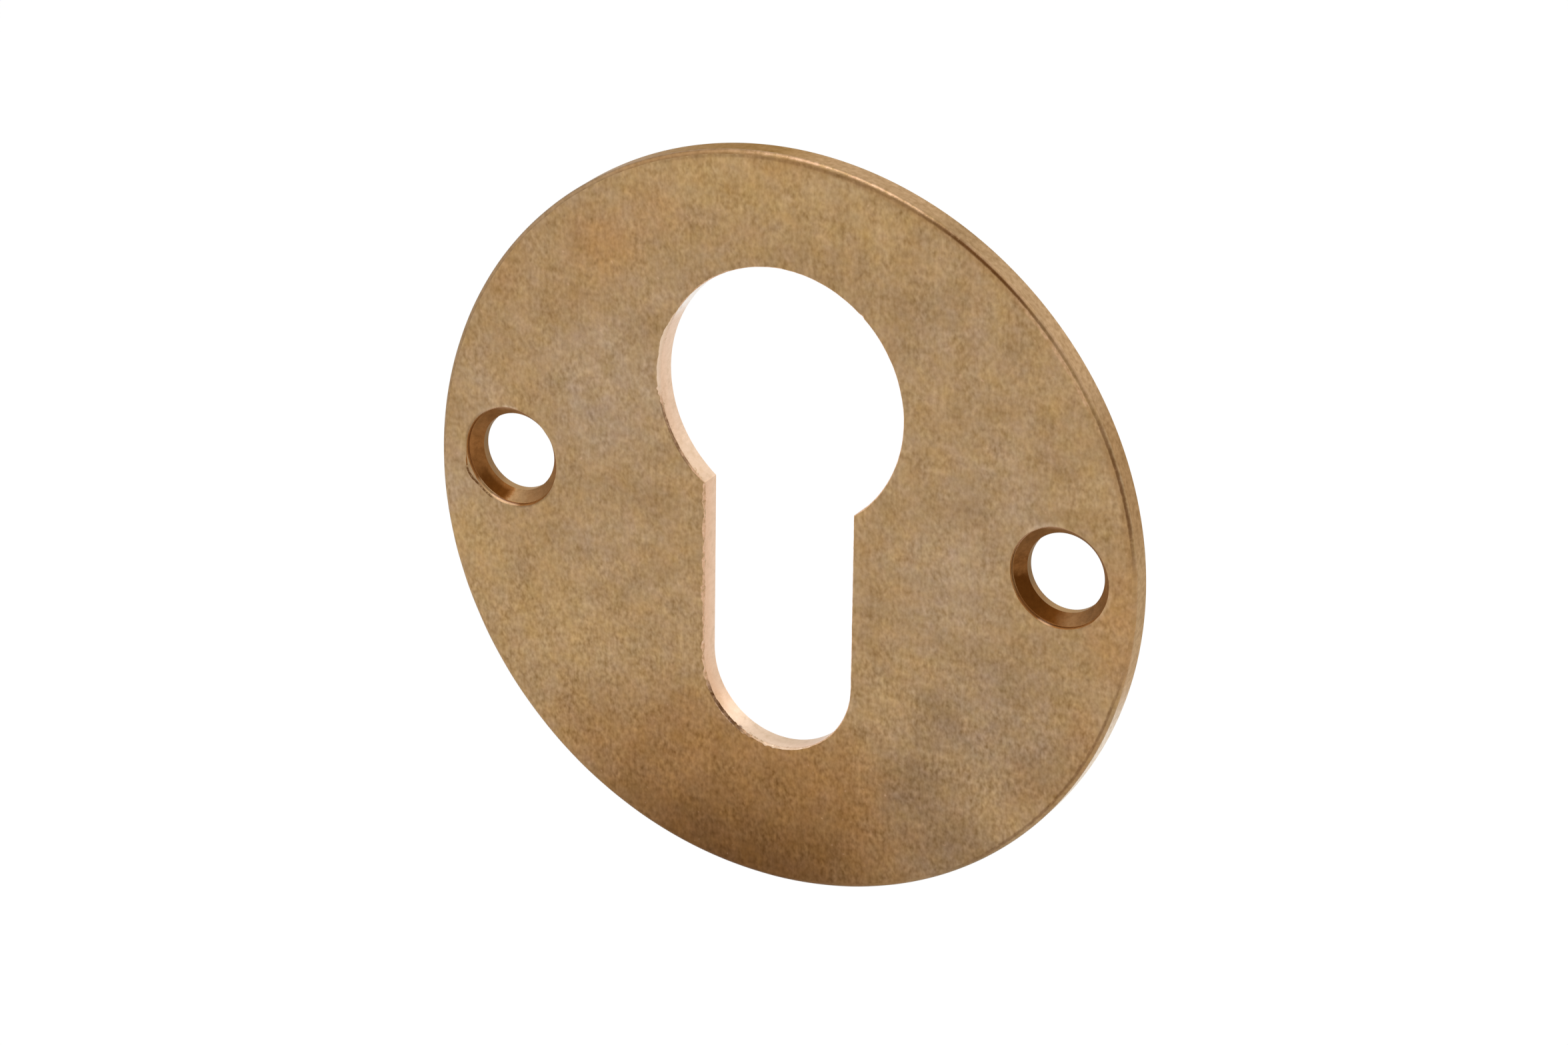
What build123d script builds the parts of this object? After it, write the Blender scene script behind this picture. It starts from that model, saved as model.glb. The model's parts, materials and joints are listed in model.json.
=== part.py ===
"""Keyhole escutcheon: a round bronze plate with the keyhole of a profile lock cylinder.

The plate stands upright, as it does on a door: its flat back lies in the XZ plane, its face looks
along -Y and +Z is up. The origin is on the back, halfway between the two screw holes.
All sizes are in millimetres.
"""

import os

from build123d import *

# Plate: a turned disc with a rounded front edge and a lightly broken back edge
plate_diameter = 50.8
plate_thickness = 1.6
front_edge_radius = 0.25
back_edge_break = 0.1

# Screw holes: countersunk, level with each other and a little above the middle of the plate
screw_hole_diameter = 5.4
countersink_diameter = 6.8
countersink_angle = 90
countersink_lip = 0.3
screw_inset = 5.35
screw_line_rise = 0.75

# Keyhole: a round hole for the cylinder's barrel, with a slot below it that ends in a half circle
keyhole_height = 33.5
barrel_diameter = 17.7
slot_width = 10.9
keyhole_rise = 1.0

# Heights above the screw line
plate_centre = -screw_line_rise
keyhole_centre = plate_centre + keyhole_rise
barrel_centre = keyhole_centre + keyhole_height / 2 - barrel_diameter / 2
slot_end_centre = keyhole_centre - keyhole_height / 2 + slot_width / 2

screw_spacing = plate_diameter - 2 * screw_inset

# Planes: the back of the plate, and the level where the countersinks begin to narrow
back = Plane.XZ
countersink_level = back.offset(plate_thickness - countersink_lip)

with BuildPart() as escutcheon_plate:
    # The disc, from its back to its face
    with BuildSketch(back):
        with Locations((0, plate_centre)):
            Circle(plate_diameter / 2)
    extrude(amount=plate_thickness)

    # The edges of the rim, sorted from the face to the back
    face_edge, back_edge = escutcheon_plate.edges().filter_by(GeomType.CIRCLE).sort_by(Axis.Y)
    fillet(face_edge, front_edge_radius)
    chamfer(back_edge, back_edge_break)

    # The keyhole is sawn right through, so its edges stay sharp
    with BuildSketch(back):
        with Locations((0, barrel_centre)):
            Circle(barrel_diameter / 2)
        with Locations((0, (barrel_centre + slot_end_centre) / 2)):
            SlotCenterToCenter(barrel_centre - slot_end_centre, slot_width, rotation=90)
    extrude(amount=plate_thickness, mode=Mode.SUBTRACT)

    # Each countersink is sunk below the face by its lip, so that a screw's head lies under it
    with Locations(countersink_level):
        with GridLocations(screw_spacing, 0, 2, 1):
            CounterSinkHole(
                radius=screw_hole_diameter / 2,
                counter_sink_radius=countersink_diameter / 2,
                counter_sink_angle=countersink_angle,
            )

escutcheon_plate.part.label = "escutcheon_plate"

os.makedirs("parts", exist_ok=True)
export_step(escutcheon_plate.part, "parts/escutcheon_plate.step")
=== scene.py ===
"""Keyhole escutcheon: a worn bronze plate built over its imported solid, on a plain white stage.

Lengths in the mesh code and in the node trees are millimetres. They become metres in the finished mesh.
"""

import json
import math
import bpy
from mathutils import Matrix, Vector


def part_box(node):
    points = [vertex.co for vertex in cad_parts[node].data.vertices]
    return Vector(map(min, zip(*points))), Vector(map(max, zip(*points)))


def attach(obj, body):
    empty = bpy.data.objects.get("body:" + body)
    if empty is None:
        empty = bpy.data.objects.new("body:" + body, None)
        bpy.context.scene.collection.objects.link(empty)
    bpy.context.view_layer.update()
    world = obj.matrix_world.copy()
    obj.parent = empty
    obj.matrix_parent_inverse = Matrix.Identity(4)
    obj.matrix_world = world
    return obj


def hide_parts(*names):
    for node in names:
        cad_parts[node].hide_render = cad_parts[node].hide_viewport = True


bl_info = {
    "name": "Keyhole Escutcheon",
    "version": (1, 0, 0),
    "blender": (4, 5, 0),
    "location": "View3D > Sidebar > Escutcheon",
    "description": "Builds a worn bronze keyhole escutcheon over its packed plate, with a studio stage",
    "category": "Add Mesh",
}

import bmesh
import bpy
from bpy.props import FloatProperty, FloatVectorProperty, PointerProperty
from mathutils import Matrix, Vector
from mathutils import noise as perlin
from mathutils.geometry import delaunay_2d_cdt

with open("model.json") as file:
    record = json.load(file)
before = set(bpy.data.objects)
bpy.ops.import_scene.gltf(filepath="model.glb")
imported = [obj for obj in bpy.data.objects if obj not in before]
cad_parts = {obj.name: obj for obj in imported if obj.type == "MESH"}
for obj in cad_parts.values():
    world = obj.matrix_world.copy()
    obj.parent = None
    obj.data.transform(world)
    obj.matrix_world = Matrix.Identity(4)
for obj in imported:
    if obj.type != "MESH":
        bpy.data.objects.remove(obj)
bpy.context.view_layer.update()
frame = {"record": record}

NODE = "escutcheon_plate"
PIECE = "bronze_plate"
BODY = "root"

MM = 0.001
PHOTO_WIDTH = 2352
SENSOR_WIDTH = 36.0

# Finishes of the plate's surfaces, in the order of the mesh's material slots
FACE, EDGE, RIM, WALL, LIP, SINK, BORE, BACK = range(8)


def packed_mount(name):
    """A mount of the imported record, by its name."""
    for mount in frame["record"]["mounts"]:
        if mount["name"] == name:
            return mount
    raise RuntimeError(f"the packed record has no mount named {name}")


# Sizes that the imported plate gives
low_corner, high_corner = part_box(NODE)
rim_wear = 0.008
plate_radius = (high_corner.z - low_corner.z) / 2 / MM - rim_wear
plate_thickness = (high_corner.y - low_corner.y) / MM
plate_centre = (high_corner.z + low_corner.z) / 2 / MM
barrel = packed_mount("keyhole_barrel")
barrel_radius = barrel["dims"]["r_mm"]
barrel_centre = barrel["pos_m"][2] / MM
screws = packed_mount("screw_holes")
screw_offset = screws["dims"]["spacing_x_mm"] / 2
screw_radius = screws["dims"]["hole_r_mm"]
face_depth = -plate_thickness


def bronze_colour(name, description, default):
    """A colour that a user can change."""
    return FloatVectorProperty(name=name, description=description, subtype="COLOR", default=default)


class PlateSizes(bpy.types.PropertyGroup):
    """Sizes of the plate that its mounts don't give."""

    front_edge: FloatProperty(
        name="Front edge", description="Radius of the rounded front edge, in mm", default=0.25, min=0.05
    )
    back_edge: FloatProperty(
        name="Back edge", description="Width of the broken back edge, in mm", default=0.1, min=0.02
    )
    slot_width: FloatProperty(
        name="Slot width", description="Width of the keyhole's slot, in mm", default=10.9, min=1
    )
    keyhole_height: FloatProperty(
        name="Keyhole height", description="Height of the whole keyhole, in mm", default=33.5, min=10
    )
    sink_diameter: FloatProperty(
        name="Countersink", description="Width of a countersink at the face, in mm", default=6.8, min=1
    )
    sink_lip: FloatProperty(
        name="Countersink lip", description="Straight wall above a countersink's cone, in mm",
        default=0.3, min=0.1
    )


class BronzeColours(bpy.types.PropertyGroup):
    """Colours of the bronze and of its patina."""

    ochre: bronze_colour("Ochre", "Main tone of the brushed face", (0.415, 0.264, 0.129))
    straw: bronze_colour("Straw", "Rubbed, yellower face", (0.458, 0.29, 0.129))
    sand: bronze_colour("Sand", "Pale grey patina on the face", (0.422, 0.286, 0.166))
    amber: bronze_colour("Amber", "Light orange patina on the face", (0.435, 0.24, 0.095))
    russet: bronze_colour("Russet", "Orange-brown patina on the face", (0.34, 0.18, 0.068))
    # Slate, umber and cocoa also paint shade: low on the face, along the keyhole's and the screw holes'
    # edges, on the front edge, the rim and the countersinks
    slate: bronze_colour("Slate", "Dark grey patina on the face", (0.265, 0.165, 0.086))
    umber: bronze_colour("Umber", "Darkest patina", (0.105, 0.042, 0.012))
    chestnut: bronze_colour("Chestnut", "Main tone of the countersinks", (0.295, 0.124, 0.036))
    cocoa: bronze_colour("Cocoa", "Darkest part of a countersink", (0.098, 0.031, 0.005))
    rim: bronze_colour("Rim", "Lighter parts of the turned rim", (0.47, 0.3, 0.15))
    # Bare and pale also paint highlights: on the keyhole's walls and lip, round the screw holes, in the
    # countersinks, and on the front edge and rim
    bare: bronze_colour("Bare metal", "Freshly cut metal in the keyhole", (0.72, 0.45, 0.28))
    pale: bronze_colour("Pale metal", "Cleanest cut metal in the keyhole", (0.83, 0.64, 0.48))
    # A painted reflection of white surroundings, high on the keyhole's wall and at the rim's lower right
    painted_glint: bronze_colour("Glint", "Polished metal high in the keyhole", (0.93, 0.88, 0.82))
    back: bronze_colour("Back", "Darker parts of the ground back", (0.3, 0.19, 0.095))


class StageSettings(bpy.types.PropertyGroup):
    """The camera and the floor."""

    azimuth: FloatProperty(
        name="Azimuth", description="Camera's turn to the right of the plate", subtype="ANGLE",
        default=math.radians(27.78)
    )
    elevation: FloatProperty(
        name="Elevation", description="Camera's height above the horizon", subtype="ANGLE",
        default=math.radians(23.31)
    )
    roll: FloatProperty(
        name="Roll", description="Camera's turn about its own axis", subtype="ANGLE",
        default=math.radians(0.79)
    )
    distance: FloatProperty(
        name="Distance", description="From the camera to the point that it looks at", unit="LENGTH",
        default=0.3475
    )
    aim: FloatVectorProperty(
        name="Aim", description="Point on the face that the camera looks at, as x and z", unit="LENGTH",
        size=2, default=(0.00041, -0.00037)
    )
    focal_pixels: FloatProperty(
        name="Focal length", description="Focal length in pixels of the photograph", default=8073.0
    )
    floor_drop: FloatProperty(
        name="Floor drop", description="From the plate's lowest point down to the floor", unit="LENGTH",
        default=0.12
    )


class EscutcheonSettings(bpy.types.PropertyGroup):
    """All that a user would change."""

    sizes: PointerProperty(type=PlateSizes)
    colours: PointerProperty(type=BronzeColours)
    stage: PointerProperty(type=StageSettings)


# Mesh of the plate


def wander(place, size, reach, seed):
    """Smooth noise along a line: from -reach to reach, with swells of about the given size."""
    return reach * perlin.noise(Vector((place / size, seed, 0.5)))


def even_angles(count):
    """Angles of even steps round a circle, from its right side over its top."""
    return [2 * math.pi * step / count for step in range(count)]


def circle(centre_x, centre_z, radii, angles):
    """Points round a centre in the plate's plane, as x and z, each with its own radius and angle."""
    return [(centre_x + r * math.cos(a), centre_z + r * math.sin(a)) for r, a in zip(radii, angles)]


class PlateMesh:
    """Collects the plate's points and faces, in mm, with the finish of each face."""

    def __init__(self):
        self.points = []
        self.faces = []
        self.finishes = []

    def loop(self, outline, depths):
        """Adds a closed loop of points, each at its own depth, and returns their numbers."""
        first = len(self.points)
        for (x, z), y in zip(outline, depths):
            self.points.append((x, y, z))
        return list(range(first, len(self.points)))

    def level(self, outline, depth):
        """Adds a closed loop of points at one depth."""
        return self.loop(outline, [depth] * len(outline))

    def strip(self, upper, lower, finish):
        """Joins two closed loops of the same length."""
        count = len(upper)
        for here in range(count):
            after = (here + 1) % count
            self.faces.append((upper[here], upper[after], lower[after], lower[here]))
            self.finishes.append(finish)

    def strips(self, loops, finish):
        """Joins a row of loops, each to the next."""
        for upper, lower in zip(loops, loops[1:]):
            self.strip(upper, lower, finish)

    def sheet(self, loops, inner_points, depth, finish):
        """Fills the flat face between the first loop and the others, through the given inner points."""
        numbers = [number for loop in loops for number in loop]
        flat = [Vector((self.points[number][0], self.points[number][2])) for number in numbers]
        outlines = []
        first = 0
        for loop in loops:
            outlines.append(list(range(first, first + len(loop))))
            first += len(loop)
        numbers.extend(self.level(inner_points, depth))
        flat.extend(Vector(point) for point in inner_points)
        inside_with_holes = 2
        result = delaunay_2d_cdt(flat, [], outlines, inside_with_holes, 1e-6)
        origins = result[3]
        for triangle in result[2]:
            self.faces.append(tuple(numbers[origins[corner][0]] for corner in triangle))
            self.finishes.append(finish)


class Keyhole:
    """Outline of the keyhole: a round barrel with a slot below it that ends in a half circle."""

    def __init__(self, sizes):
        self.half_slot = sizes.slot_width / 2
        top = barrel_centre + barrel_radius
        self.end_centre = top - sizes.keyhole_height + self.half_slot
        self.shoulder = math.asin(self.half_slot / barrel_radius)

    def distance(self, x, z):
        """How far a point lies outside the keyhole, and below 0 inside it."""
        to_barrel = math.hypot(x, z - barrel_centre) - barrel_radius
        nearest = min(max(z, self.end_centre), barrel_centre)
        return min(to_barrel, math.hypot(x, z - nearest) - self.half_slot)

    def outline(self, spacing):
        """Points round the keyhole, as x and z, each with the direction into the metal."""

        def arc(centre_z, radius, low, high):
            steps = round(radius * (high - low) / spacing)
            angles = [low + (high - low) * step / steps for step in range(steps + 1)]
            ways = [(math.cos(angle), math.sin(angle)) for angle in angles]
            return [(radius * x, centre_z + radius * z, x, z) for x, z in ways]

        low, high = -math.pi / 2 + self.shoulder, 3 * math.pi / 2 - self.shoulder
        barrel_arc = arc(barrel_centre, barrel_radius, low, high)[1:-1]
        end_arc = arc(self.end_centre, self.half_slot, math.pi, 2 * math.pi)
        corner_z = barrel_centre - barrel_radius * math.cos(self.shoulder)
        length = corner_z - self.end_centre
        steps = round(length / spacing)
        left = [(-self.half_slot, corner_z - length * step / steps, -1.0, 0.0) for step in range(1, steps)]
        right = [(-x, z, 1.0, 0.0) for x, z, *_ in reversed(left)]

        # At a shoulder the two walls meet, and the way into the metal is between theirs
        bisector = Vector((-math.sin(self.shoulder) - 1, -math.cos(self.shoulder))).normalized()
        stretch = 1 / bisector.dot(Vector((-1.0, 0.0)))
        left_corner = (-self.half_slot, corner_z, bisector.x * stretch, bisector.y * stretch)
        right_corner = (self.half_slot, corner_z, -bisector.x * stretch, bisector.y * stretch)
        return barrel_arc + [left_corner] + left + end_arc + right + [right_corner]


# Marks on the keyhole's front edge, in mm on the face: x, z, reach along the edge, depth into the face
KEYHOLE_NICKS = [
    (-5.45, 0.35, 0.2, 0.12),
    (-5.45, -0.25, 0.15, 0.08),
    (-5.45, -2.1, 0.45, 0.14),
    (-5.45, -6.3, 0.12, 0.14),
    (-5.45, -6.75, 0.12, 0.08),
    (-8.55, 10.44, 1.3, 0.17),
    (-8.83, 8.77, 1.0, 0.12),
    (-8.83, 7.53, 0.7, 0.06),
    (-8.85, 7.75, 0.3, 0.06),
    (-8.78, 7.0, 0.35, 0.07),
    (-8.79, 7.1, 0.12, 0.1),
    (-8.74, 6.75, 0.1, 0.1),
    (-8.66, 6.3, 0.14, 0.1),
    (-7.42, 3.33, 2.2, 0.07),
    (-5.3, -12.5, 0.2, 0.08),
    (-3.99, -14.77, 1.7, 0.09),
    (-3.05, -15.57, 0.12, 0.12),
    (-2.4, -15.9, 0.18, 0.14),
    (-1.9, -16.1, 0.12, 0.1),
    (-0.76, -16.45, 0.14, 0.1),
    (-0.2, -16.5, 0.1, 0.08),
    (0.6, -16.5, 1.8, 0.05),
    (5.75, 14.9, 0.16, 0.1),
]

# Section of the worn lip from the face to the wall, in lip widths: how far into the metal, how deep
LIP_SECTION = ((1.0, 0.0), (0.35, 0.3), (0.0, 0.85))


def keyhole_lip(x, z, out_x, along):
    """Width of the worn lip at a point of the keyhole's front edge, most ragged at the left of the slot."""
    on_slot = math.hypot(x, z - barrel_centre) > barrel_radius + 0.01
    ragged = min(max(0.35 - out_x, 0.2), 1.0) * (0.13 if on_slot else 0.06)
    width = 0.105 if on_slot and out_x < -0.9 else 0.055
    for size, reach, seed in ((1.1, 0.02, 3.1), (0.5, ragged, 8.7), (0.2, ragged / 2, 5.2)):
        width += wander(along, size, reach, seed)
    for nick_x, nick_z, reach, depth in KEYHOLE_NICKS:
        gap = math.hypot(x - nick_x, z - nick_z) / reach
        width += depth * math.exp(-gap * gap)
    narrowest = 0.02
    return max(width, narrowest)


def add_keyhole(mesh, keyhole):
    """Adds the keyhole's lip and walls, and returns its loops on the face and on the back."""
    spacing = 0.065
    outline = keyhole.outline(spacing)
    lips = [keyhole_lip(x, z, out_x, spacing * step) for step, (x, z, out_x, _) in enumerate(outline)]

    def moved(widths):
        return [(x + out_x * w, z + out_z * w) for (x, z, out_x, out_z), w in zip(outline, widths)]

    lip_loops = []
    for inward, drop in LIP_SECTION:
        tops = [face_depth + drop * lip for lip in lips]
        lip_loops.append(mesh.loop(moved([inward * lip for lip in lips]), tops))
    mesh.strips(lip_loops, LIP)

    back_lip = 0.04
    ripple_reach = 0.006
    levels = 7
    wall_loops = [lip_loops[-1]]
    for level in range(1, levels + 1):
        depths = [top + (-back_lip - top) * level / levels for top in tops]
        ripple = []
        for step in range(len(outline)):
            ripple.append(ripple_reach + wander(spacing * step, 0.7, ripple_reach, 20.0 + level))
        wall_loops.append(mesh.loop(moved(ripple), depths))
    back_loop = mesh.level(moved([back_lip] * len(outline)), 0.0)
    wall_loops.append(back_loop)
    mesh.strips(wall_loops, WALL)
    return lip_loops[0], back_loop


def add_screw_hole(mesh, centre_x, sizes, slip, wear):
    """Adds one countersunk hole, and returns its loops on the face and on the back.

    slip is the width of a crescent where the cutter slipped, at the hole's lower left. wear is how much
    more of the lip is worn away below it and at its lower right.
    """
    angles = even_angles(192)
    sink_radius = sizes.sink_diameter / 2
    cone_start = face_depth + sizes.sink_lip
    break_width = 0.05
    riser = 0.1
    thinnest = 0.001
    ledge_slope = 0.2

    def ring(radii):
        return circle(centre_x, 0.0, radii, angles)

    def even_ring(radius, depth):
        return mesh.level(ring([radius] * len(angles)), depth)

    def near(angle, middle, reach):
        """1 at an angle of so many degrees, fading to 0 on both sides of it."""
        gap = (math.degrees(angle) - middle) / reach
        return math.exp(-gap * gap)

    breaks, crescents = [], []
    for angle in angles:
        worn = wear * (near(angle, 258, 14) + 0.7 * near(angle, 303, 22)) + 0.03 * near(angle, 95, 20)
        ragged = wander(math.degrees(angle), 5.0, 0.015, centre_x + 40)
        breaks.append(break_width + worn + ragged)
        chatter = 1 + wander(math.degrees(angle), 4.0, 0.25, centre_x)
        slipped = max(near(angle, 209, 14), 0.3 * near(angle, 232, 14))
        crescents.append(thinnest + slip * chatter * slipped)
    inner = [sink_radius + b for b in breaks]
    outer = [i + c for i, c in zip(inner, crescents)]
    floors = [face_depth + thinnest + ledge_slope * c for c in crescents]

    face_loop = mesh.level(ring([o + min(riser, c) for o, c in zip(outer, crescents)]), face_depth)
    step_loop = mesh.loop(ring(outer), floors)
    ledge_loop = mesh.loop(ring(inner), floors)
    lip_depths = [depth + b for depth, b in zip(floors, breaks)]
    lip_loop = mesh.loop(ring([sink_radius] * len(angles)), lip_depths)
    mesh.strip(face_loop, step_loop, SINK)
    mesh.strip(step_loop, ledge_loop, FACE)
    mesh.strip(ledge_loop, lip_loop, SINK)

    # The cone's sides are at 45 degrees, so it is as deep as it is wide
    cone_width = sink_radius - screw_radius
    turns = 8
    cone_loops = [lip_loop]
    for turn in range(turns + 1):
        sunk = cone_width * turn / turns
        cone_loops.append(even_ring(sink_radius - sunk, cone_start + sunk))
    mesh.strips(cone_loops, SINK)

    bore_end = even_ring(screw_radius, -break_width)
    back_loop = even_ring(screw_radius + break_width, 0.0)
    mesh.strips([cone_loops[-1], bore_end, back_loop], BORE)
    return face_loop, back_loop


def add_rim(mesh, sizes):
    """Adds the rounded front edge, the rim and the broken back edge, and returns the two flat loops."""
    angles = even_angles(720)
    rounds = []
    for angle in angles:
        swell = perlin.noise(Vector((math.cos(angle) * 2, math.sin(angle) * 2, 1.5)))
        chips = perlin.noise(Vector((math.cos(angle) * 14, math.sin(angle) * 14, 4.5)))
        rounds.append(sizes.front_edge * (0.95 + 0.12 * swell + 0.08 * chips))

    def ring(radii):
        return circle(0.0, plate_centre, radii, angles)

    # The face was brushed after the edge was rounded, so the round reaches further in than down
    reach_in = 1.2
    flat_margin = 0.15
    support = mesh.level(ring([plate_radius - reach_in * r - flat_margin for r in rounds]), face_depth)
    edge_loops = []
    turns = 8
    for turn in range(turns + 1):
        bend = math.pi / 2 * turn / turns
        radii = [plate_radius - reach_in * r * (1 - math.sin(bend)) for r in rounds]
        edge_loops.append(mesh.loop(ring(radii), [face_depth + r * (1 - math.cos(bend)) for r in rounds]))
    mesh.strip(support, edge_loops[0], FACE)
    mesh.strips(edge_loops, EDGE)

    rim_loops = [edge_loops[-1]]
    bands = 6
    for band in range(1, bands + 1):
        depths = [face_depth + r + (-sizes.back_edge - face_depth - r) * band / bands for r in rounds]
        rim_loops.append(mesh.loop(ring([plate_radius] * len(angles)), depths))
    back_loop = mesh.level(ring([plate_radius - sizes.back_edge] * len(angles)), 0.0)
    mesh.strips(rim_loops + [back_loop], RIM)
    return support, back_loop


def inner_points(keyhole, sizes, spacing):
    """An even net of points on the flat of the plate, clear of its edges."""
    clear = 0.5 * spacing
    rim_reach = plate_radius - 1.3 * sizes.front_edge - 0.2 - clear
    screw_reach = sizes.sink_diameter / 2 + 0.5 + clear
    keyhole_reach = 0.3 + clear
    row_height = spacing * math.sqrt(3) / 2
    rows = int(plate_radius / row_height)
    columns = int(plate_radius / spacing) + 1
    points = []
    for row in range(-rows, rows + 1):
        for column in range(-columns, columns + 1):
            x = (column + 0.5 * (row % 2)) * spacing
            z = plate_centre + row * row_height
            on_plate = math.hypot(x, z - plate_centre) < rim_reach
            off_screws = math.hypot(abs(x) - screw_offset, z) > screw_reach
            if on_plate and off_screws and keyhole.distance(x, z) > keyhole_reach:
                points.append((x, z))
    return points


def plate_object(sizes):
    """The whole plate as a Blender object."""
    mesh = PlateMesh()
    keyhole = Keyhole(sizes)
    fronts, backs = [], []
    for front, back in (
        add_rim(mesh, sizes),
        add_keyhole(mesh, keyhole),
        add_screw_hole(mesh, -screw_offset, sizes, slip=0.28, wear=0.05),
        add_screw_hole(mesh, screw_offset, sizes, slip=0.0, wear=0.02),
    ):
        fronts.append(front)
        backs.append(back)
    net = inner_points(keyhole, sizes, spacing=0.6)
    mesh.sheet(fronts, net, face_depth, FACE)
    mesh.sheet(backs, net, 0.0, BACK)

    data = bpy.data.meshes.new(PIECE)
    data.from_pydata([Vector(point) * MM for point in mesh.points], [], mesh.faces)
    data.polygons.foreach_set("material_index", mesh.finishes)
    built = bmesh.new()
    built.from_mesh(data)
    bmesh.ops.recalc_face_normals(built, faces=built.faces)
    built.to_mesh(data)
    built.free()
    data.shade_smooth()
    data.set_sharp_from_angle(angle=math.radians(32))
    data.update()
    piece = bpy.data.objects.new(PIECE, data)
    bpy.context.scene.collection.objects.link(piece)
    return piece


# Node trees

# Shares of red, green and blue in a small change of a tone
SPECK_TINT = (0.85, 1.0, 1.3)
YELLOW_TINT = (0.25, 0.0, -1.0)
PINK_TINT = (0.6, -0.6, 0.4)


class Tree:
    """Writes the node tree of one material."""

    def __init__(self, name):
        self.material = bpy.data.materials.new(name)
        self.material.use_nodes = True
        self.nodes = self.material.node_tree.nodes
        self.links = self.material.node_tree.links
        self.nodes.clear()

    def add(self, kind, inputs=None, **settings):
        """Adds a node. An input is a value, or a socket to link to."""
        node = self.nodes.new(kind)
        for key, value in settings.items():
            setattr(node, key, value)
        for key, value in (inputs or {}).items():
            socket = node.inputs[key]
            if isinstance(value, bpy.types.NodeSocket):
                self.links.new(value, socket)
            elif socket.type == "RGBA":
                socket.default_value = (*value, 1.0)
            else:
                socket.default_value = value
        return node

    def math(self, operation, first, second=0.0):
        """One sum."""
        return self.add("ShaderNodeMath", {0: first, 1: second}, operation=operation).outputs[0]

    def plus(self, first, second):
        """The sum of two values."""
        return self.math("ADD", first, second)

    def minus(self, first, second):
        """The difference of two values."""
        return self.math("SUBTRACT", first, second)

    def larger(self, first, second):
        """The larger of two values."""
        return self.math("MAXIMUM", first, second)

    def times(self, product, *others):
        """The product of some values."""
        for other in others:
            product = self.math("MULTIPLY", product, other)
        return product


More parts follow.
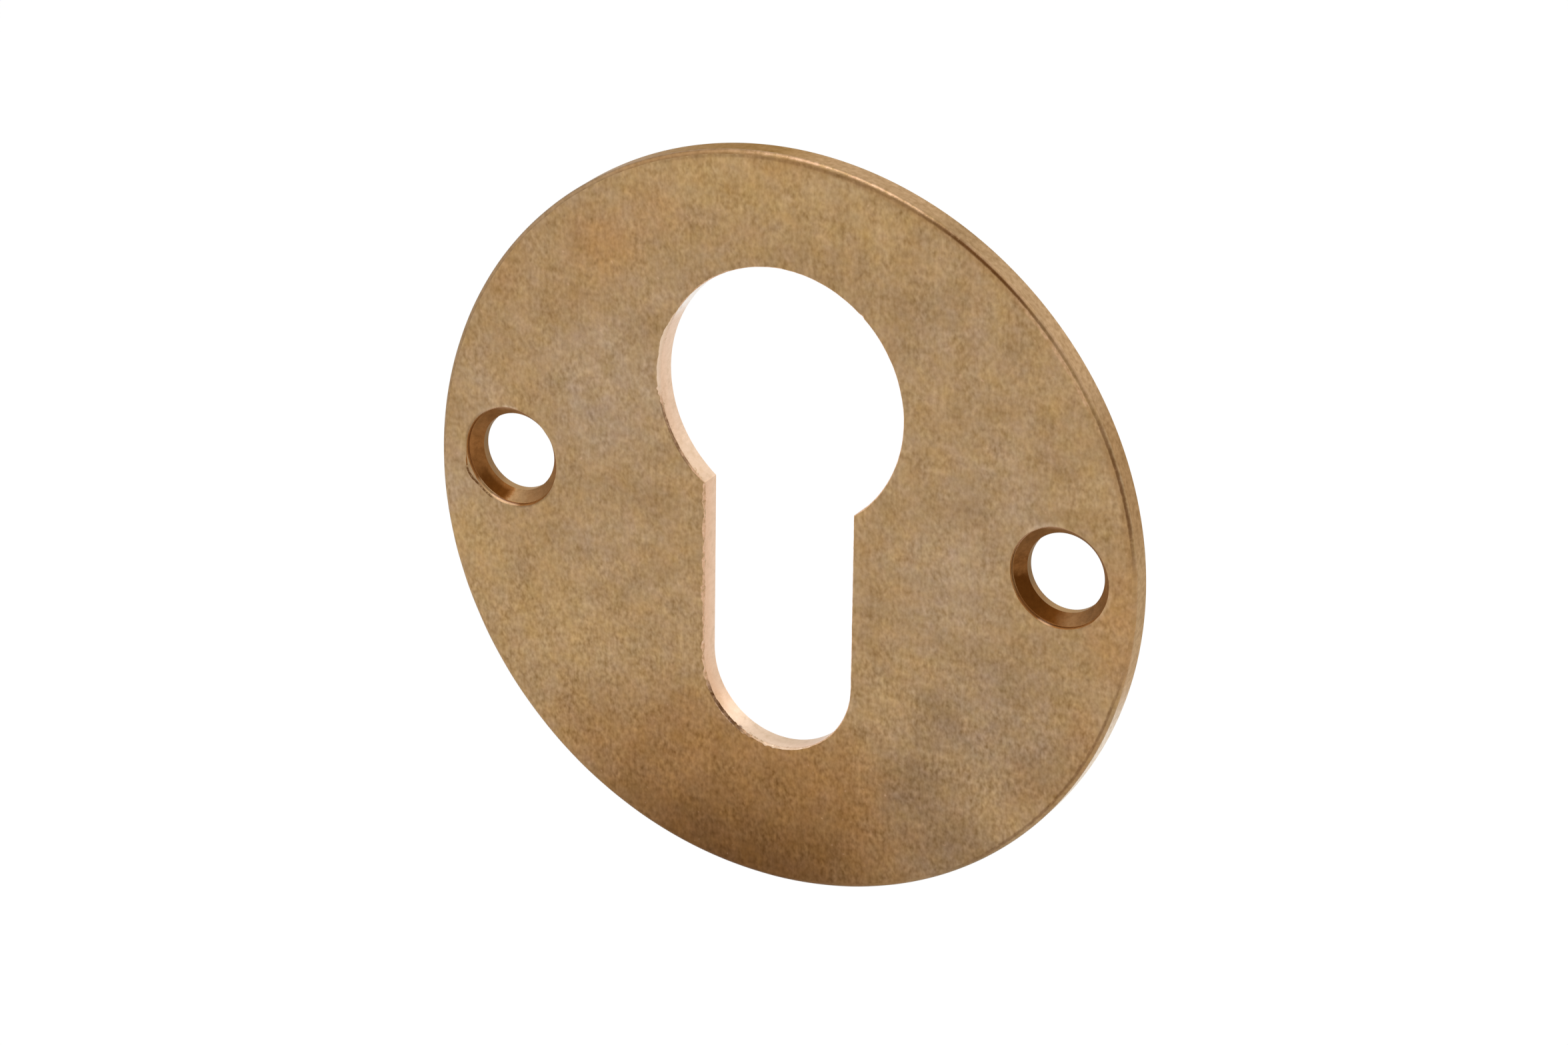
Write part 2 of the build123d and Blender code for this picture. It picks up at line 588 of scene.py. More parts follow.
class BronzeTree(Tree):
    """Writes one finish of the plate, with the colours and sizes of the settings."""

    def __init__(self, name, settings):
        super().__init__(name)
        self.colours = settings.colours
        self.sizes = settings.sizes

    def total(self, start, *patterns):
        """A start value with patterns added to it, each times its strength."""
        for pattern, strength in patterns:
            start = self.plus(start, self.times(pattern, strength))
        return start

    def vector(self, operation, first, second):
        """One sum of two vectors."""
        return self.add("ShaderNodeVectorMath", {0: first, 1: second}, operation=operation).outputs[0]

    def length(self, vector):
        """The length of a vector."""
        return self.add("ShaderNodeVectorMath", {0: vector}, operation="LENGTH").outputs["Value"]

    def axes(self, vector):
        """The parts of a vector, by the names X, Y and Z."""
        return self.add("ShaderNodeSeparateXYZ", {0: vector}).outputs

    def stretch(self, vector, scale):
        """A place with its axes scaled."""
        return self.vector("MULTIPLY", vector, scale)

    def place(self):
        """The place on the plate, in mm."""
        return self.stretch(self.add("ShaderNodeTexCoord").outputs["Object"], (1 / MM,) * 3)

    def depth(self, place):
        """How far a place lies behind the face."""
        return self.minus(self.axes(place)["Y"], face_depth)

    def noise(self, vector, scale, detail=2.0, roughness=0.5, distortion=0.0):
        """Cloudy noise from 0 to 1."""
        inputs = {
            "Vector": vector, "Scale": scale, "Detail": detail,
            "Roughness": roughness, "Distortion": distortion,
        }
        return self.add("ShaderNodeTexNoise", inputs).outputs["Fac"]

    def spread(self, value, low, high, to_low=0.0, to_high=1.0):
        """A value between low and high, eased to the new range."""
        inputs = {"Value": value, "From Min": low, "From Max": high, "To Min": to_low, "To Max": to_high}
        return self.add("ShaderNodeMapRange", inputs, interpolation_type="SMOOTHSTEP").outputs["Result"]

    def band(self, value, fade_in, full, full_end, fade_out):
        """1 from full to full_end, eased to 0 at the two outer values."""
        rising = self.spread(value, fade_in, full)
        return self.times(rising, self.spread(value, full_end, fade_out, 1.0, 0.0))

    def patch(self, vector, x, z, half_width, half_height, core=0.0):
        """1 at a place on the face, eased to 0 at the half width and half height round it."""
        away = self.vector("SUBTRACT", vector, (x, 0.0, z))
        away = self.stretch(away, (1 / half_width, 0.0, 1 / half_height))
        return self.spread(self.length(away), core, 1.0, 1.0, 0.0)

    def line(self, value, middle, core, half_width, strength=1.0):
        """A line where a value is near a middle: full in its core, eased to 0 at its half width."""
        away = self.math("ABSOLUTE", self.minus(value, middle))
        return self.spread(away, core, half_width, strength, 0.0)

    def polar(self, vector, centre_z):
        """Angle in degrees and radius in mm about a point of the plate's upright middle line."""
        flat = self.stretch(self.vector("SUBTRACT", vector, (0.0, 0.0, centre_z)), (1.0, 0.0, 1.0))
        parts = self.axes(flat)
        angle = self.math("ARCTAN2", parts["Z"], parts["X"])
        return self.times(angle, 180 / math.pi), self.length(flat)

    def screw_polar(self, vector):
        """1 at the left screw hole or 0 at the right one, then the angle to 360 and radius about it."""
        parts = self.axes(vector)
        left = self.math("LESS_THAN", parts["X"], 0.0)
        across = self.minus(parts["X"], self.times(self.math("SIGN", parts["X"]), screw_offset))
        from_screw = self.add("ShaderNodeCombineXYZ", {0: across, 2: parts["Z"]}).outputs[0]
        degrees, radius = self.polar(from_screw, 0.0)
        return left, self.math("FLOORED_MODULO", degrees, 360.0), radius

    def by_hole(self, left, at_left, at_right):
        """One value at the left screw hole and another at the right one."""
        right = self.minus(1.0, left)
        return self.plus(self.times(left, at_left), self.times(right, at_right))

    def pigment(self, colour):
        """A colour of the settings by its name, or any other colour as it is."""
        return getattr(self.colours, colour) if isinstance(colour, str) else colour

    def layer(self, tone, colour, *shares):
        """A tone with a colour laid over it, as strong as the product of the shares."""
        inputs = {0: self.times(*shares), 6: self.pigment(tone), 7: self.pigment(colour)}
        return self.add("ShaderNodeMix", inputs, data_type="RGBA").outputs[2]

    def layers(self, tone, *coats):
        """A tone with coats laid over it in turn, each a colour with its shares."""
        for coat in coats:
            tone = self.layer(tone, *coat)
        return tone

    def shade(self, tone, change, tint=SPECK_TINT):
        """A tone changed by a small amount, in the tint's shares of red, green and blue."""
        scaled = self.add("ShaderNodeVectorMath", {0: tint, "Scale": change}, operation="SCALE").outputs[0]
        return self.vector("MULTIPLY", tone, self.vector("ADD", scaled, (1.0, 1.0, 1.0)))

    def bump(self, height, distance):
        """A normal that is tilted by a height, in mm."""
        return self.add("ShaderNodeBump", {"Height": height, "Distance": distance * MM}).outputs["Normal"]

    def finish(self, colour, roughness, normal, edge_tint=(1.0, 1.0, 1.0)):
        """Ends the tree in bronze of that colour. edge_tint is its colour where it is seen at a slant."""
        inputs = {
            "Base Color": colour, "Roughness": roughness, "Normal": normal, "Metallic": 1.0,
            "Specular Tint": edge_tint,
        }
        bronze = self.add("ShaderNodeBsdfPrincipled", inputs)
        self.add("ShaderNodeOutputMaterial", {"Surface": bronze.outputs[0]})
        return self.material


# Patina on the face, and painted shade low on it, in mm from the plate's centre: x, z, half width, half
# height, core, tone, strength
FACE_PATCHES = [
    (-13, 7, 7, 8, 0.2, "sand", 0.95),
    (-13, -4, 5, 4.5, 0, "sand", 0.5),
    (-24, -4, 3, 7, 0.2, "sand", 0.7),
    (-22.5, 5, 3, 3.5, 0, "sand", 0.6),
    (12.5, -1, 5.5, 7, 0.2, "sand", 0.8),
    (15.5, 6.5, 5, 5, 0, "sand", 0.6),
    (12.5, 14, 6, 5, 0, "sand", 0.3),
    (15.5, -11, 6.5, 6, 0.2, "sand", 0.7),
    (-17, -10, 6, 6.5, 0.2, "straw", 0.7),
    (-2, 23.5, 13, 4.5, 0.2, "straw", 0.95),
    (7, 21.5, 4.5, 3.5, 0.2, "straw", 0.8),
    (-23, -6, 3.6, 5, 0.2, "straw", 0.9),
    (22.5, 7, 3, 4, 0, "straw", 0.5),
    (-13, 17.2, 4.5, 3.5, 0.1, "amber", 0.75),
    (-9.5, 20, 4, 3, 0, "amber", 0.45),
    (-20.5, 14, 3, 3.5, 0, "amber", 0.5),
    (0, 24.8, 4, 2, 0, "amber", 0.45),
    (24.3, -1.5, 3, 7, 0.2, "amber", 0.75),
    (22.3, -11, 2.8, 5, 0.1, "amber", 0.65),
    (-15, 13, 4, 3, 0, "russet", 0.2),
    (-10.3, 12, 2.2, 2.6, 0, "slate", 0.2),
    (-17.5, 8, 2.6, 2.6, 0, "slate", 0.18),
    (-9.5, 0, 2.8, 3.2, 0, "slate", 0.3),
    (8.5, 14.5, 2.5, 3.5, 0, "slate", 0.2),
    (11, 17.5, 4, 2.8, 0, "slate", 0.2),
    (19, 9.5, 2.5, 2.5, 0, "slate", 0.15),
    (13.5, 4, 2.8, 2.8, 0, "slate", 0.24),
    (6.5, -5.5, 2.2, 2.8, 0, "slate", 0.25),
    (16.5, -8, 6.5, 6, 0, "slate", 0.42),
    (12, -11.2, 3.4, 3.4, 0, "slate", 0.7),
    (17.5, -13.5, 6, 4.5, 0, "slate", 0.5),
    (21.5, -11.5, 3, 4, 0, "slate", 0.3),
    (19, -14.5, 4, 3.5, 0, "russet", 0.4),
    # From here down the patches darken the face towards its bottom: painted shade, a dark reflection from
    # below, laid on like patina
    (-14.5, -17.5, 5, 4.5, 0, "russet", 0.45),
    (-2, -20, 18, 10, 0.4, "russet", 1),
    (10.5, -16.5, 4.8, 5.2, 0.1, "slate", 0.8),
    (13.8, -20.3, 6, 5, 0.1, "slate", 0.85),
    (-4, -28, 25, 12.1, 0, "umber", 1),
]


def patina(tree, place):
    """The tone of the face at a place: patches of patina with ragged edges, painted shade towards the
    bottom, and finer clouds over them.
    """
    wobble = tree.add("ShaderNodeTexNoise", {"Vector": place, "Scale": 0.4, "Detail": 3.0}).outputs["Color"]
    push = tree.stretch(tree.vector("SUBTRACT", wobble, (0.5,) * 3), (2.6, 0.0, 2.6))
    drifted = tree.vector("ADD", place, push)
    tone = "ochre"
    for x, z, half_width, half_height, core, name, strength in FACE_PATCHES:
        patch = tree.patch(drifted, x, z + plate_centre, half_width, half_height, core)
        tone = tree.layer(tone, name, patch, strength)
    for scale, strength, tint in (
        (0.3, 0.26, YELLOW_TINT),
        (0.75, 0.5, YELLOW_TINT),
        (0.7, 0.1, PINK_TINT),
    ):
        clouds = tree.minus(tree.noise(place, scale, 3.0, 0.6), 0.5)
        tone = tree.shade(tone, tree.times(clouds, strength), tint)
    return tone


def rim_marks(tree, tone, place):
    """Painted light and shade along the front edge: a dark line of painted reflection that leaves it near
    the top, and a painted highlight in a band further in.
    """
    degrees, radius = tree.polar(place, plate_centre)
    inward = tree.minus(plate_radius, radius)
    flecks = tree.noise(place, 2.2, 3.0, 0.65)
    russet_arcs = tree.larger(tree.band(degrees, 0, 8, 22, 30), tree.band(degrees, 44, 50, 84, 100))
    ridge_highlight = tree.times(tree.band(degrees, 25, 32, 44, 52), tree.band(inward, 0.2, 0.27, 0.42, 0.58))
    # Russet by the edge, and a broken painted highlight in a band further in
    tone = tree.layers(
        tone,
        ("russet", russet_arcs, tree.band(inward, 0.1, 0.22, 0.42, 0.75), 0.42),
        ("amber", ridge_highlight, 0.3),
        ("bare", ridge_highlight, tree.spread(flecks, 0.4, 0.62, 0.1, 0.45)),
    )

    # Where the dark line of painted reflection lies, in mm from the rim
    lower_arc = tree.band(degrees, -62, -46, -18, -6)
    line_at = tree.plus(tree.spread(degrees, 34, 46, 0.135, 0.18), tree.spread(degrees, 60, 84, 0.0, 0.18))
    wobble = tree.minus(tree.noise(place, 2.8, 2.0, 0.6), 0.5)
    line_at = tree.total(line_at, (lower_arc, 0.16), (wobble, tree.spread(degrees, 36, 46, 0.1, 0.05)))
    line = tree.line(inward, line_at, 0.035, tree.spread(degrees, 46, 62, 0.15, 0.21))

    # How strong it is along the edge
    # Where the painted highlight lies, the dark line is weaker
    highlit_arc = tree.times(tree.band(degrees, 21, 32, 38, 52), 0.55)
    dark_arc = tree.times(tree.band(degrees, 2, 13, 58, 78), tree.spread(degrees, 24, 50, 0.74, 0.9))
    dark_arc = tree.times(dark_arc, tree.minus(1.0, highlit_arc))
    faint_arc = tree.times(tree.band(degrees, 58, 70, 92, 124), 0.32)
    arcs = tree.larger(dark_arc, tree.larger(faint_arc, tree.times(lower_arc, 0.45)))
    return tree.layer(tone, "cocoa", line, arcs, tree.spread(flecks, 0.55, 0.7, 1.0, 0.5))


def keyhole_edge_shade(tree, tone, place):
    """Painted shade in umber along the two lower left arcs of the keyhole's front edge."""
    keyhole = Keyhole(tree.sizes)
    chips = tree.noise(place, 1.8, 3.0, 0.6)
    for centre_z, edge_radius, arc, darkest, lightest in (
        (barrel_centre, barrel_radius, (-172, -160, -144, -130), 0.7, 0.2),
        (keyhole.end_centre, keyhole.half_slot, (-164, -150, -128, -100), 0.95, 0.5),
    ):
        degrees, radius = tree.polar(place, centre_z)
        edge = tree.band(tree.minus(radius, edge_radius), -0.1, 0.0, 0.12, 0.22)
        strength = tree.spread(chips, 0.42, 0.66, darkest, lightest)
        tone = tree.layer(tone, "umber", edge, tree.band(degrees, *arc), strength)
    return tone


def screw_marks(tree, tone, place):
    """Rings on the face round the screw holes: painted highlights above them and at the right one's lower
    right, painted shade beside and below them.
    """
    left, turn, radius = tree.screw_polar(place)
    outside = tree.minus(radius, tree.sizes.sink_diameter / 2)
    wide_ring = tree.spread(outside, 0.05, 0.5, 1.0, 0.0)
    thin_ring = tree.spread(outside, 0.08, 0.28, 1.0, 0.0)
    for ring, arc, at_left, at_right, colour in (
        (wide_ring, (78, 95, 120, 150), 0.12, 0.2, "pale"),
        (thin_ring, (80, 86, 95, 102), 0.3, 0.0, "pale"),
        (wide_ring, (312, 328, 348, 358), 0.0, 0.16, "pale"),
        (thin_ring, (118, 138, 160, 200), 0.35, 0.0, "umber"),
        (thin_ring, (228, 238, 250, 262), 0.0, 0.22, "umber"),
        (thin_ring, (270, 286, 320, 345), 0.5, 0.18, "umber"),
    ):
        tone = tree.layer(tone, colour, tree.band(turn, *arc), tree.by_hole(left, at_left, at_right), ring)

    # The broken dark line where the cutter slipped at the left hole: painted shadow of the step there
    line = tree.line(outside, tree.spread(turn, 208, 228, 0.36, 0.15), 0.03, 0.11, 0.9)
    breaks = tree.spread(tree.noise(place, 3.0, 2.0, 0.6), 0.45, 0.62, 1.0, 0.5)
    return tree.layer(tone, "umber", line, tree.band(turn, 199, 206, 242, 249), breaks, left)


def face_bronze(tree, place):
    """The brushed face: patches of patina, painted highlights and shade along its edges and painted shade
    low on it, fine speckle and faint upright brush marks.
    """
    tone = patina(tree, place)
    tone = rim_marks(tree, tone, place)
    tone = keyhole_edge_shade(tree, tone, place)
    tone = screw_marks(tree, tone, place)
    specks = tree.noise(place, 2.4, 1.0, 0.5)
    tone = tree.layer(tone, "umber", tree.spread(specks, 0.62, 0.84, 0.0, 0.24))
    tone = tree.layer(tone, "bare", tree.spread(specks, 0.28, 0.14, 0.0, 0.35))
    speckle = tree.noise(tree.stretch(place, (1.0, 1.0, 0.72)), 3.15, 1.0, 0.55)
    streaks = tree.noise(tree.stretch(place, (3.4, 1.0, 0.2)), 1.0, 1.5, 0.6)
    mottle = tree.noise(place, 0.95, 2.0, 0.55)
    blotches = tree.noise(place, 0.5, 1.0, 0.5)

    # The speckle is stronger in some places, and towards the bottom
    coarse = tree.spread(tree.noise(place, 0.55, 2.0, 0.5), 0.35, 0.65, 0.72, 1.12)
    coarse = tree.times(coarse, tree.spread(tree.axes(place)["Z"], -4.0, -14.0, 1.0, 1.32))
    change = tree.times(tree.minus(speckle, 0.5), coarse)
    change = tree.total(change, (streaks, 0.15), (mottle, 0.46), (blotches, 0.34))
    mean_change = 0.457
    colour = tree.shade(tone, tree.minus(change, mean_change))
    roughness = tree.spread(mottle, 0.3, 0.7, 0.38, 0.48)
    return tree.finish(colour, roughness, tree.bump(tree.total(streaks, (speckle, 0.8)), 0.03))


def edge_bronze(tree, place):
    """The rounded front edge: the face's patina and painted shade, with painted highlights along the top
    and upper right, and painted shade over the upper left.
    """
    degrees, radius = tree.polar(place, plate_centre)
    inward = tree.minus(plate_radius, radius)
    flecks = tree.noise(place, 2.2, 3.0, 0.65)
    painted_highlight = tree.times(tree.band(degrees, 60, 76, 92, 112), tree.band(inward, 0.0, 0.03, 0.12, 0.2))
    lit = tree.times(tree.band(degrees, 26, 34, 56, 64), tree.band(inward, -0.05, 0.0, 0.05, 0.12))
    # Painted highlights: a broken line along the top, and a fainter stretch at the upper right. Painted
    # shade: slate and russet over the upper left
    tone = tree.layers(
        rim_marks(tree, patina(tree, place), place),
        ("bare", painted_highlight, tree.spread(flecks, 0.35, 0.6, 0.1, 0.75)),
        ("bare", lit, 0.22),
        ("slate", tree.band(degrees, 92, 108, 150, 200), 0.7),
        ("russet", tree.band(degrees, 90, 98, 112, 124), 0.5),
    )
    grain = tree.minus(tree.noise(place, 2.9, 1.2, 0.6), 0.5)
    return tree.finish(tree.shade(tone, tree.times(grain, 0.7)), 0.38, tree.bump(flecks, 0.03))


def rim_bronze(tree, place):
    """The turned rim: satin, with faint lines round it and pinkish stains, and painted light and shade by
    its angle round the plate.
    """
    degrees, _ = tree.polar(place, plate_centre)
    lines = tree.noise(tree.stretch(place, (0.4, 7.0, 0.4)), 1.0, 3.0, 0.6)
    stains = tree.noise(place, 0.6, 4.0, 0.6)
    grain = tree.noise(place, 2.9, 1.2, 0.6)
    highlight_arcs = tree.larger(tree.band(degrees, 58, 68, 80, 92), tree.band(degrees, -46, -28, -16, 0))
    # Painted highlights at the top and the lower right, laid with the stains; then by angle: painted shade
    # on the upper right and upper left, a painted highlight at the top, and a painted reflection of white
    # at the lower right
    tone = tree.layers(
        "ochre",
        ("rim", tree.total(highlight_arcs, (tree.minus(stains, 0.5), 1.5))),
        ("bare", tree.spread(stains, 0.6, 0.8, 0.0, 0.3)),
        ("russet", tree.band(degrees, 4, 12, 26, 70), 0.55),
        ("sand", tree.band(degrees, 24, 32, 52, 62), 0.45),
        ("slate", tree.band(degrees, 34, 48, 61, 67), 0.28),
        ("bare", tree.band(degrees, 63, 69, 84, 92), 0.12),
        ("umber", tree.band(degrees, 84, 98, 130, 180), 0.45),
        ("painted_glint", tree.band(degrees, -62, -42, -24, -12), 0.8),
    )
    colour = tree.shade(tone, tree.total(-0.5, (lines, 0.08), (grain, 0.85)))
    # The edge tint is warmer over the upper left, to darken the rim's reflection there: painted shade
    edge_tint = tree.layer((0.92, 0.82, 0.7), (0.84, 0.66, 0.46), tree.band(degrees, 78, 92, 140, 180))
    return tree.finish(colour, 0.3, tree.bump(grain, 0.02), edge_tint)


def wall_bronze(tree, place):
    """The keyhole's walls: bare pink metal, paler to the back, with patina over the top in places, painted
    highlights, a painted reflection and painted shade.
    """
    depth = tree.depth(place)
    marks = tree.noise(tree.stretch(place, (3.2, 2.2, 3.2)), 1.0, 3.0, 0.6)
    stains = tree.noise(place, 1.3, 3.0, 0.6)
    on_barrel = tree.spread(tree.axes(place)["Z"], 1.05, 1.3)
    above_shoulder = tree.times(tree.patch(place, -6.2, 1.9, 3.2, 3.4, 0.3), on_barrel)
    overlap = tree.spread(tree.noise(place, 2.4, 2.0, 0.6), 0.52, 0.7, -0.06, 0.3)
    slot_end = tree.patch(place, 1.6, -16.6, 4.0, 3.0, 0.3)
    notch = tree.patch(place, -2.72, -15.78, 0.24, 0.24)
    tone = tree.layers(
        "bare",
        ("pale", tree.spread(depth, 0.2, 1.4, 0.0, 0.35)),
        # Painted highlights on the barrel's left and at the slot's end, painted shade above the left
        # shoulder over the lamp's highlight there, and a painted reflection of white high on the barrel's
        # left
        ("pale", tree.patch(place, -8.5, 8.0, 4.0, 8.0, 0.5), 0.3),
        ("pale", above_shoulder, 0.6),
        ("slate", above_shoulder, 0.28),
        ("pale", tree.patch(place, -1.5, -15.8, 4.2, 3.0, 0.4), 0.7),
        ("painted_glint", tree.patch(place, -6.6, 14.1, 2.8, 2.8, 0.35), 0.85),
        ("rim", tree.spread(stains, 0.5, 0.8, 0.0, 0.4)),
        ("ochre", tree.spread(depth, 0.05, 0.3, 0.3, 0.0)),
        ("ochre", tree.spread(tree.minus(depth, overlap), 0.0, 0.07, 0.7, 0.0)),
        # Painted shade at the back of the slot's end
        ("ochre", slot_end, tree.spread(depth, 0.2, 1.0, 0.0, 0.35)),
        ("umber", notch, tree.spread(depth, 0.2, 0.4, 0.8, 0.0)),
    )
    return tree.finish(tree.shade(tone, tree.total(-0.16, (marks, 0.32))), 0.3, tree.bump(marks, 0.02))


def lip_bronze(tree, place):
    """The worn lip of the keyhole: chipped, worn metal, with painted highlights at the slot's end and the
    barrel's left, and painted shade along its lower left arcs.
    """
    chips = tree.noise(place, 2.5, 3.0, 0.65)
    slot_end = tree.patch(place, 0.9, -17.0, 3.0, 2.5, 0.4)
    tone = tree.layers(
        "ochre",
        ("bare", tree.spread(chips, 0.25, 0.6)),
        ("pale", tree.spread(chips, 0.55, 0.7, 0.0, 0.5)),
        # Painted highlights at the slot's end and on the barrel's left
        ("pale", slot_end, tree.spread(chips, 0.3, 0.6, 0.3, 0.9)),
        ("pale", tree.patch(place, -8.6, 9.8, 2.6, 3.8, 0.6), 0.8),
    )
    tone = keyhole_edge_shade(tree, tone, place)
    return tree.finish(tone, 0.42, tree.bump(chips, 0.02))


def sink_bronze(tree, place):
    """The countersinks: chestnut patina, with painted shade at the lower left, painted highlights at the
    bottom and top, and a worn lip with painted highlights.
    """
    left, turn, radius = tree.screw_polar(place)
    sink_radius = tree.sizes.sink_diameter / 2

    def by_hole(at_left, at_right):
        return tree.by_hole(left, at_left, at_right)

    stains = tree.noise(place, 1.1, 4.0, 0.65)
    grain = tree.noise(place, 4.0, 3.0, 0.65)
    drift = tree.total(turn, (tree.minus(stains, 0.5), 18.0))
    # Painted shade over the cone's lower left, and painted highlights over its bottom and its top
    outer_half = tree.spread(radius, sink_radius - 0.65, sink_radius - 0.4, 0.4, 1.0)
    left_dark = tree.times(tree.band(drift, 176, 236, 257, 263), outer_half)
    darkest = by_hole(left_dark, tree.band(drift, 182, 196, 256, 286))
    upper_cone = tree.spread(radius, sink_radius - 0.4, sink_radius - 0.1, 0.0, 0.5)
    cone = tree.layers(
        "chestnut",
        ("cocoa", tree.plus(tree.spread(stains, 0.4, 0.7, 0.0, 0.4), by_hole(0.0, 0.25))),
        ("amber", tree.band(turn, 90, 116, 146, 176), 0.25),
        ("ochre", tree.band(drift, 270, 284, 320, 356), by_hole(0.5, 0.28)),
        ("ochre", tree.band(drift, 260, 266, 274, 292), by_hole(0.7, 0.2)),
        ("cocoa", darkest),
        ("bare", tree.band(turn, 60, 78, 98, 120), upper_cone),
    )

    # The straight wall above the cone, and its worn lip, with painted highlights at the top and the bottom
    top_highlight = by_hole(tree.band(turn, 60, 80, 114, 138), tree.band(turn, 60, 80, 134, 170))
    right_highlight = tree.times(tree.band(turn, 244, 249, 256, 266), 0.5)
    painted_highlight = by_hole(tree.band(turn, 240, 247, 270, 282), right_highlight)
    wall = tree.layers(
        "chestnut",
        ("cocoa", darkest, 0.2),
        ("russet", by_hole(0.0, tree.band(turn, 140, 165, 200, 215))),
        ("rim", left, tree.band(turn, 216, 226, 242, 252)),
        ("bare", top_highlight, 0.9),
        ("bare", painted_highlight, tree.spread(tree.depth(place), 0.18, 0.3, 1.0, 0.0)),
    )
    lip_highlight = tree.larger(painted_highlight, tree.times(tree.band(turn, 70, 90, 120, 150), 0.6))
    lip = tree.layers(
        wall,
        ("rim", lip_highlight, 0.6),
        ("chestnut", tree.band(turn, 116, 136, 222, 240), 0.7),
    )

    # The dashed line where the cutter slipped at the left hole: the step's riser, darkened with painted
    # shadow
    dashes = tree.layer("cocoa", "ochre", tree.spread(grain, 0.42, 0.64, 0.15, 1.0))
    slipped = tree.times(left, tree.band(turn, 196, 204, 243, 249))
    tone = tree.layers(
        cone,
        (wall, tree.spread(radius, sink_radius - 0.03, sink_radius - 0.006)),
        (lip, tree.spread(radius, sink_radius + 0.002, sink_radius + 0.02)),
        (dashes, slipped, tree.spread(radius, sink_radius + 0.08, sink_radius + 0.1)),
    )
    colour = tree.shade(tone, tree.total(-0.3, (grain, 0.6)))
    return tree.finish(colour, 0.45, tree.bump(stains, 0.03), (0.88, 0.74, 0.58))


def bore_bronze(tree, place):
    """The straight wall behind a countersink, with a painted highlight along its bottom."""
    stains = tree.noise(place, 1.1, 3.0, 0.6)
    tone = tree.layers(
        "slate",
        ("russet", tree.spread(stains, 0.35, 0.75, 0.0, 0.6)),
        ("rim", tree.spread(tree.axes(place)["Z"], -2.1, -2.7)),
    )
    colour = tree.shade(tone, tree.total(-0.22, (stains, 0.25)))
    return tree.finish(colour, 0.45, tree.bump(stains, 0.02), (0.9, 0.78, 0.66))


def back_bronze(tree, place):
    """The ground back: uneven brown patina, darkest along the rim and round the screws."""
    _, radius = tree.polar(place, plate_centre)
    _, _, from_screw = tree.screw_polar(place)
    clouds = tree.noise(place, 0.11, 4.0, 0.6, 0.4)
    stains = tree.noise(place, 0.45, 4.0, 0.65)
    marks = tree.noise(tree.stretch(place, (0.2, 1.0, 3.2)), 1.0, 3.0, 0.65)
    grain = tree.noise(place, 3.0, 2.0, 0.6)
    by_rim = tree.spread(radius, plate_radius - 3.5, plate_radius, 0.0, 0.5)
    by_screw = tree.spread(from_screw, screw_radius, screw_radius + 1.6, 0.5, 0.0)
    uneven = tree.spread(stains, 0.3, 0.6, 1.0, 0.4)
    tone = tree.layers(
        "back",
        ("ochre", tree.spread(clouds, 0.35, 0.65)),
        ("russet", tree.spread(stains, 0.5, 0.75, 0.0, 0.5)),
        ("umber", tree.spread(stains, 0.44, 0.26, 0.0, 0.4)),
        ("umber", tree.larger(by_rim, by_screw), uneven),
    )
    colour = tree.shade(tone, tree.total(-0.44, (marks, 0.44), (grain, 0.44)))
    return tree.finish(colour, 0.45, tree.bump(tree.plus(marks, grain), 0.02))


# Name and maker of each finish, in the order of the mesh's material slots
FINISHES = (
    ("brushed bronze face", face_bronze),
    ("front edge with painted light", edge_bronze),
    ("turned rim", rim_bronze),
    ("bare cut wall", wall_bronze),
    ("worn lip", lip_bronze),
    ("dark countersink", sink_bronze),
    ("screw bore", bore_bronze),
    ("ground back", back_bronze),
)


class ESCUTCHEON_OT_plate(bpy.types.Operator):
    """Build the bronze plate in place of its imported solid"""

    bl_idname = "escutcheon.plate"
    bl_label = "Build Plate"

    def execute(self, context):
        settings = context.scene.escutcheon
        piece = plate_object(settings.sizes)
        for name, bronze in FINISHES:
            tree = BronzeTree(name, settings)
            piece.data.materials.append(bronze(tree, tree.place()))
        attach(piece, BODY)
        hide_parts(NODE)
        return {"FINISHED"}


# Stage


def floor_material():
    """Matt white that keeps a shadow, and is nearly plain white to the camera, in gloss and in glass."""
    tree = Tree("white floor")
    path = tree.add("ShaderNodeLightPath").outputs
    mirrored = tree.larger(path["Is Glossy Ray"], path["Is Transmission Ray"])
    seen = tree.larger(path["Is Camera Ray"], mirrored)
    matt = tree.add("ShaderNodeBsdfDiffuse", {"Color": (0.95, 0.95, 0.95)})
    white = tree.add("ShaderNodeEmission")
    inputs = {0: tree.times(seen, 0.75), 1: matt.outputs[0], 2: white.outputs[0]}
    mixed = tree.add("ShaderNodeMixShader", inputs)
    tree.add("ShaderNodeOutputMaterial", {"Surface": mixed.outputs[0]})
    return tree.material


def white_world():
    """Plain white light from all round the stage."""
    world = bpy.data.worlds.new("white studio")
    world.use_nodes = True
    nodes = world.node_tree.nodes
    nodes.clear()
    white = nodes.new("ShaderNodeBackground")
    white.inputs["Color"].default_value = (1.0, 1.0, 1.0, 1.0)
    output = nodes.new("ShaderNodeOutputWorld")
    world.node_tree.links.new(white.outputs[0], output.inputs["Surface"])
    return world


def soft_lamp(name, place, size, power):
    """A square soft box that points at the plate."""
    lamp = bpy.data.lights.new(name, "AREA")
    lamp.shape = "SQUARE"
    lamp.size = size
    lamp.energy = power
    holder = bpy.data.objects.new(name, lamp)
    holder.location = place
    holder.rotation_euler = (-Vector(place)).to_track_quat("-Z", "Y").to_euler()
    bpy.context.scene.collection.objects.link(holder)


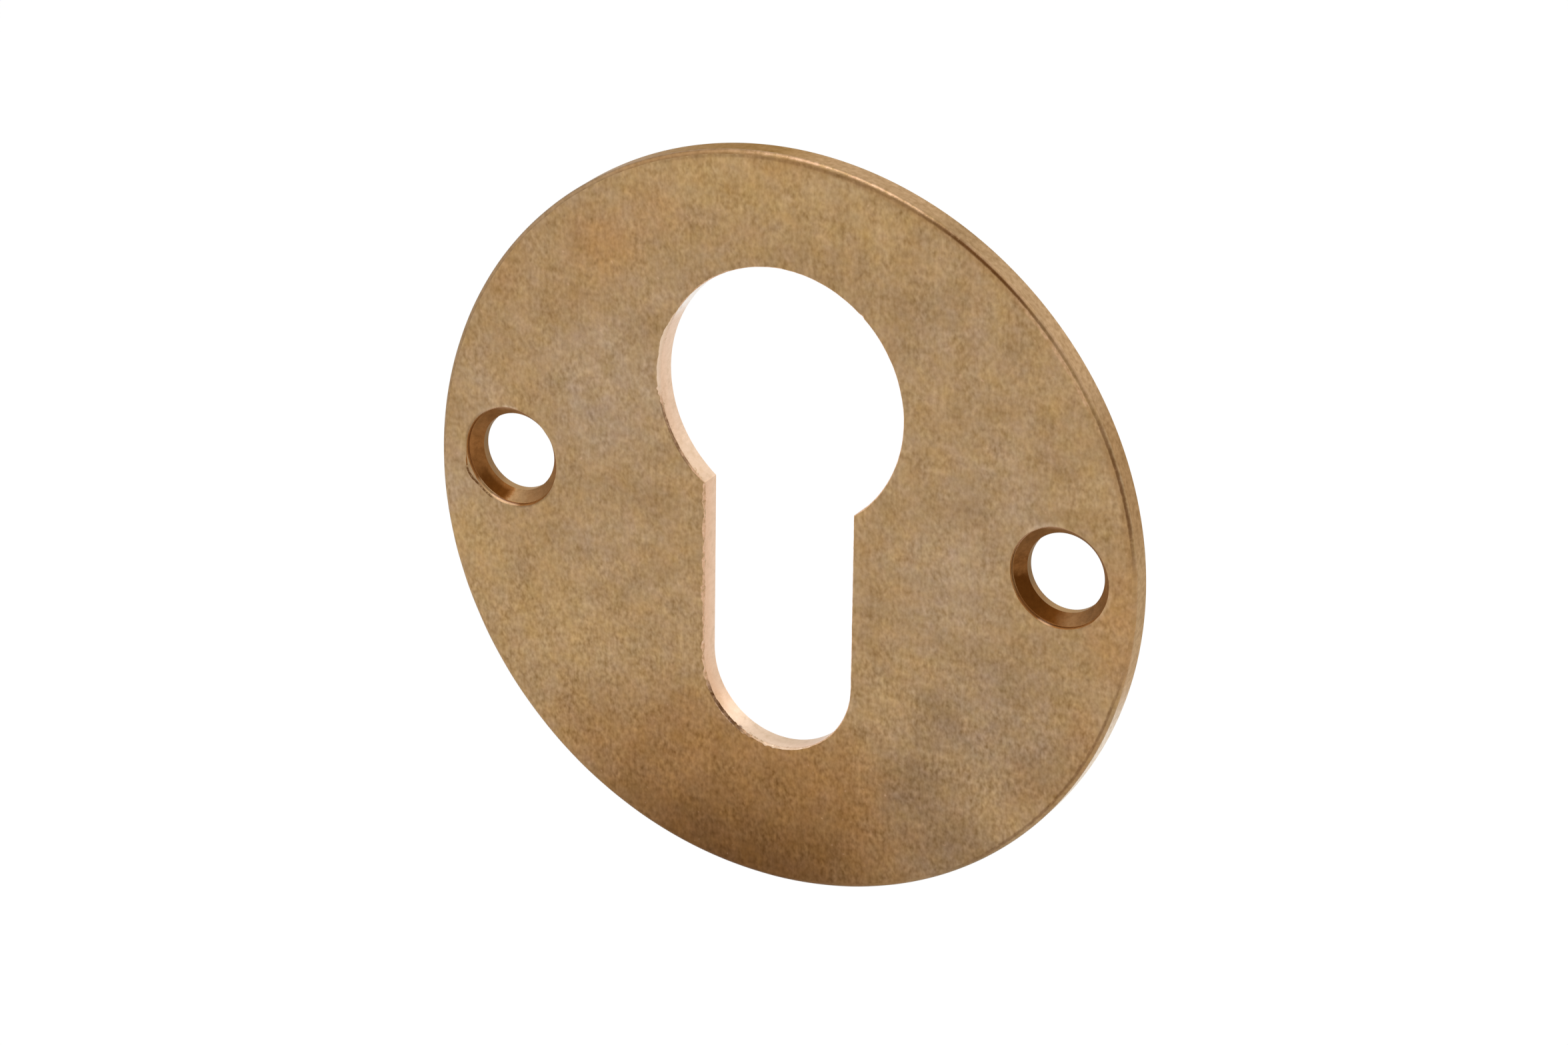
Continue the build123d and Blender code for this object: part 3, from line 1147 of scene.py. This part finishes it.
def studio_camera(stage):
    """The camera at the photograph's viewing angle."""
    turned = (
        Matrix.Rotation(stage.azimuth, 4, "Z")
        @ Matrix.Rotation(math.pi / 2 - stage.elevation, 4, "X")
        @ Matrix.Rotation(stage.roll, 4, "Z")
    )
    aim = Matrix.Translation((stage.aim[0], low_corner.y, stage.aim[1]))
    away = Matrix.Translation((0.0, 0.0, stage.distance))
    data = bpy.data.cameras.new("studio camera")
    data.sensor_fit = "HORIZONTAL"
    data.sensor_width = SENSOR_WIDTH
    data.lens = stage.focal_pixels / PHOTO_WIDTH * SENSOR_WIDTH
    data.clip_start = 0.01
    camera = bpy.data.objects.new("studio camera", data)
    camera.matrix_world = aim @ turned @ away
    bpy.context.scene.collection.objects.link(camera)
    return camera


class ESCUTCHEON_OT_stage(bpy.types.Operator):
    """Build the floor, the lamps and the camera"""

    bl_idname = "escutcheon.stage"
    bl_label = "Build Stage"

    def execute(self, context):
        scene = context.scene
        stage = scene.escutcheon.stage
        bpy.ops.mesh.primitive_plane_add(size=6.0, location=(0.0, 0.0, low_corner.z - stage.floor_drop))
        floor = context.active_object
        floor.name = "floor"
        floor.data.materials.append(floor_material())
        scene.world = white_world()
        soft_lamp("overhead box", place=(-0.14, -0.48, 0.82), size=0.45, power=1.1)
        soft_lamp("left box", place=(-0.8, -0.6, 0.3), size=0.85, power=0.92)
        soft_lamp("back box", place=(0.38, 0.82, 0.42), size=0.5, power=0.35)
        scene.camera = studio_camera(stage)
        scene.view_settings.view_transform = "Standard"
        return {"FINISHED"}


class ESCUTCHEON_PT_panel(bpy.types.Panel):
    """Lists the settings and the operators"""

    bl_idname = "ESCUTCHEON_PT_panel"
    bl_label = "Keyhole Escutcheon"
    bl_space_type = "VIEW_3D"
    bl_region_type = "UI"
    bl_category = "Escutcheon"

    def draw(self, context):
        settings = context.scene.escutcheon
        for group in (settings.sizes, settings.colours, settings.stage):
            box = self.layout.box()
            for name in group.__annotations__:
                box.prop(group, name)
        self.layout.operator(ESCUTCHEON_OT_plate.bl_idname)
        self.layout.operator(ESCUTCHEON_OT_stage.bl_idname)


CLASSES = (
    PlateSizes,
    BronzeColours,
    StageSettings,
    EscutcheonSettings,
    ESCUTCHEON_OT_plate,
    ESCUTCHEON_OT_stage,
    ESCUTCHEON_PT_panel,
)


def register():
    for each in CLASSES:
        bpy.utils.register_class(each)
    bpy.types.Scene.escutcheon = PointerProperty(type=EscutcheonSettings)


def unregister():
    del bpy.types.Scene.escutcheon
    for each in reversed(CLASSES):
        bpy.utils.unregister_class(each)


def main():
    register()
    bpy.ops.escutcheon.plate()
    bpy.ops.escutcheon.stage()


if __name__ == "__main__":
    main()
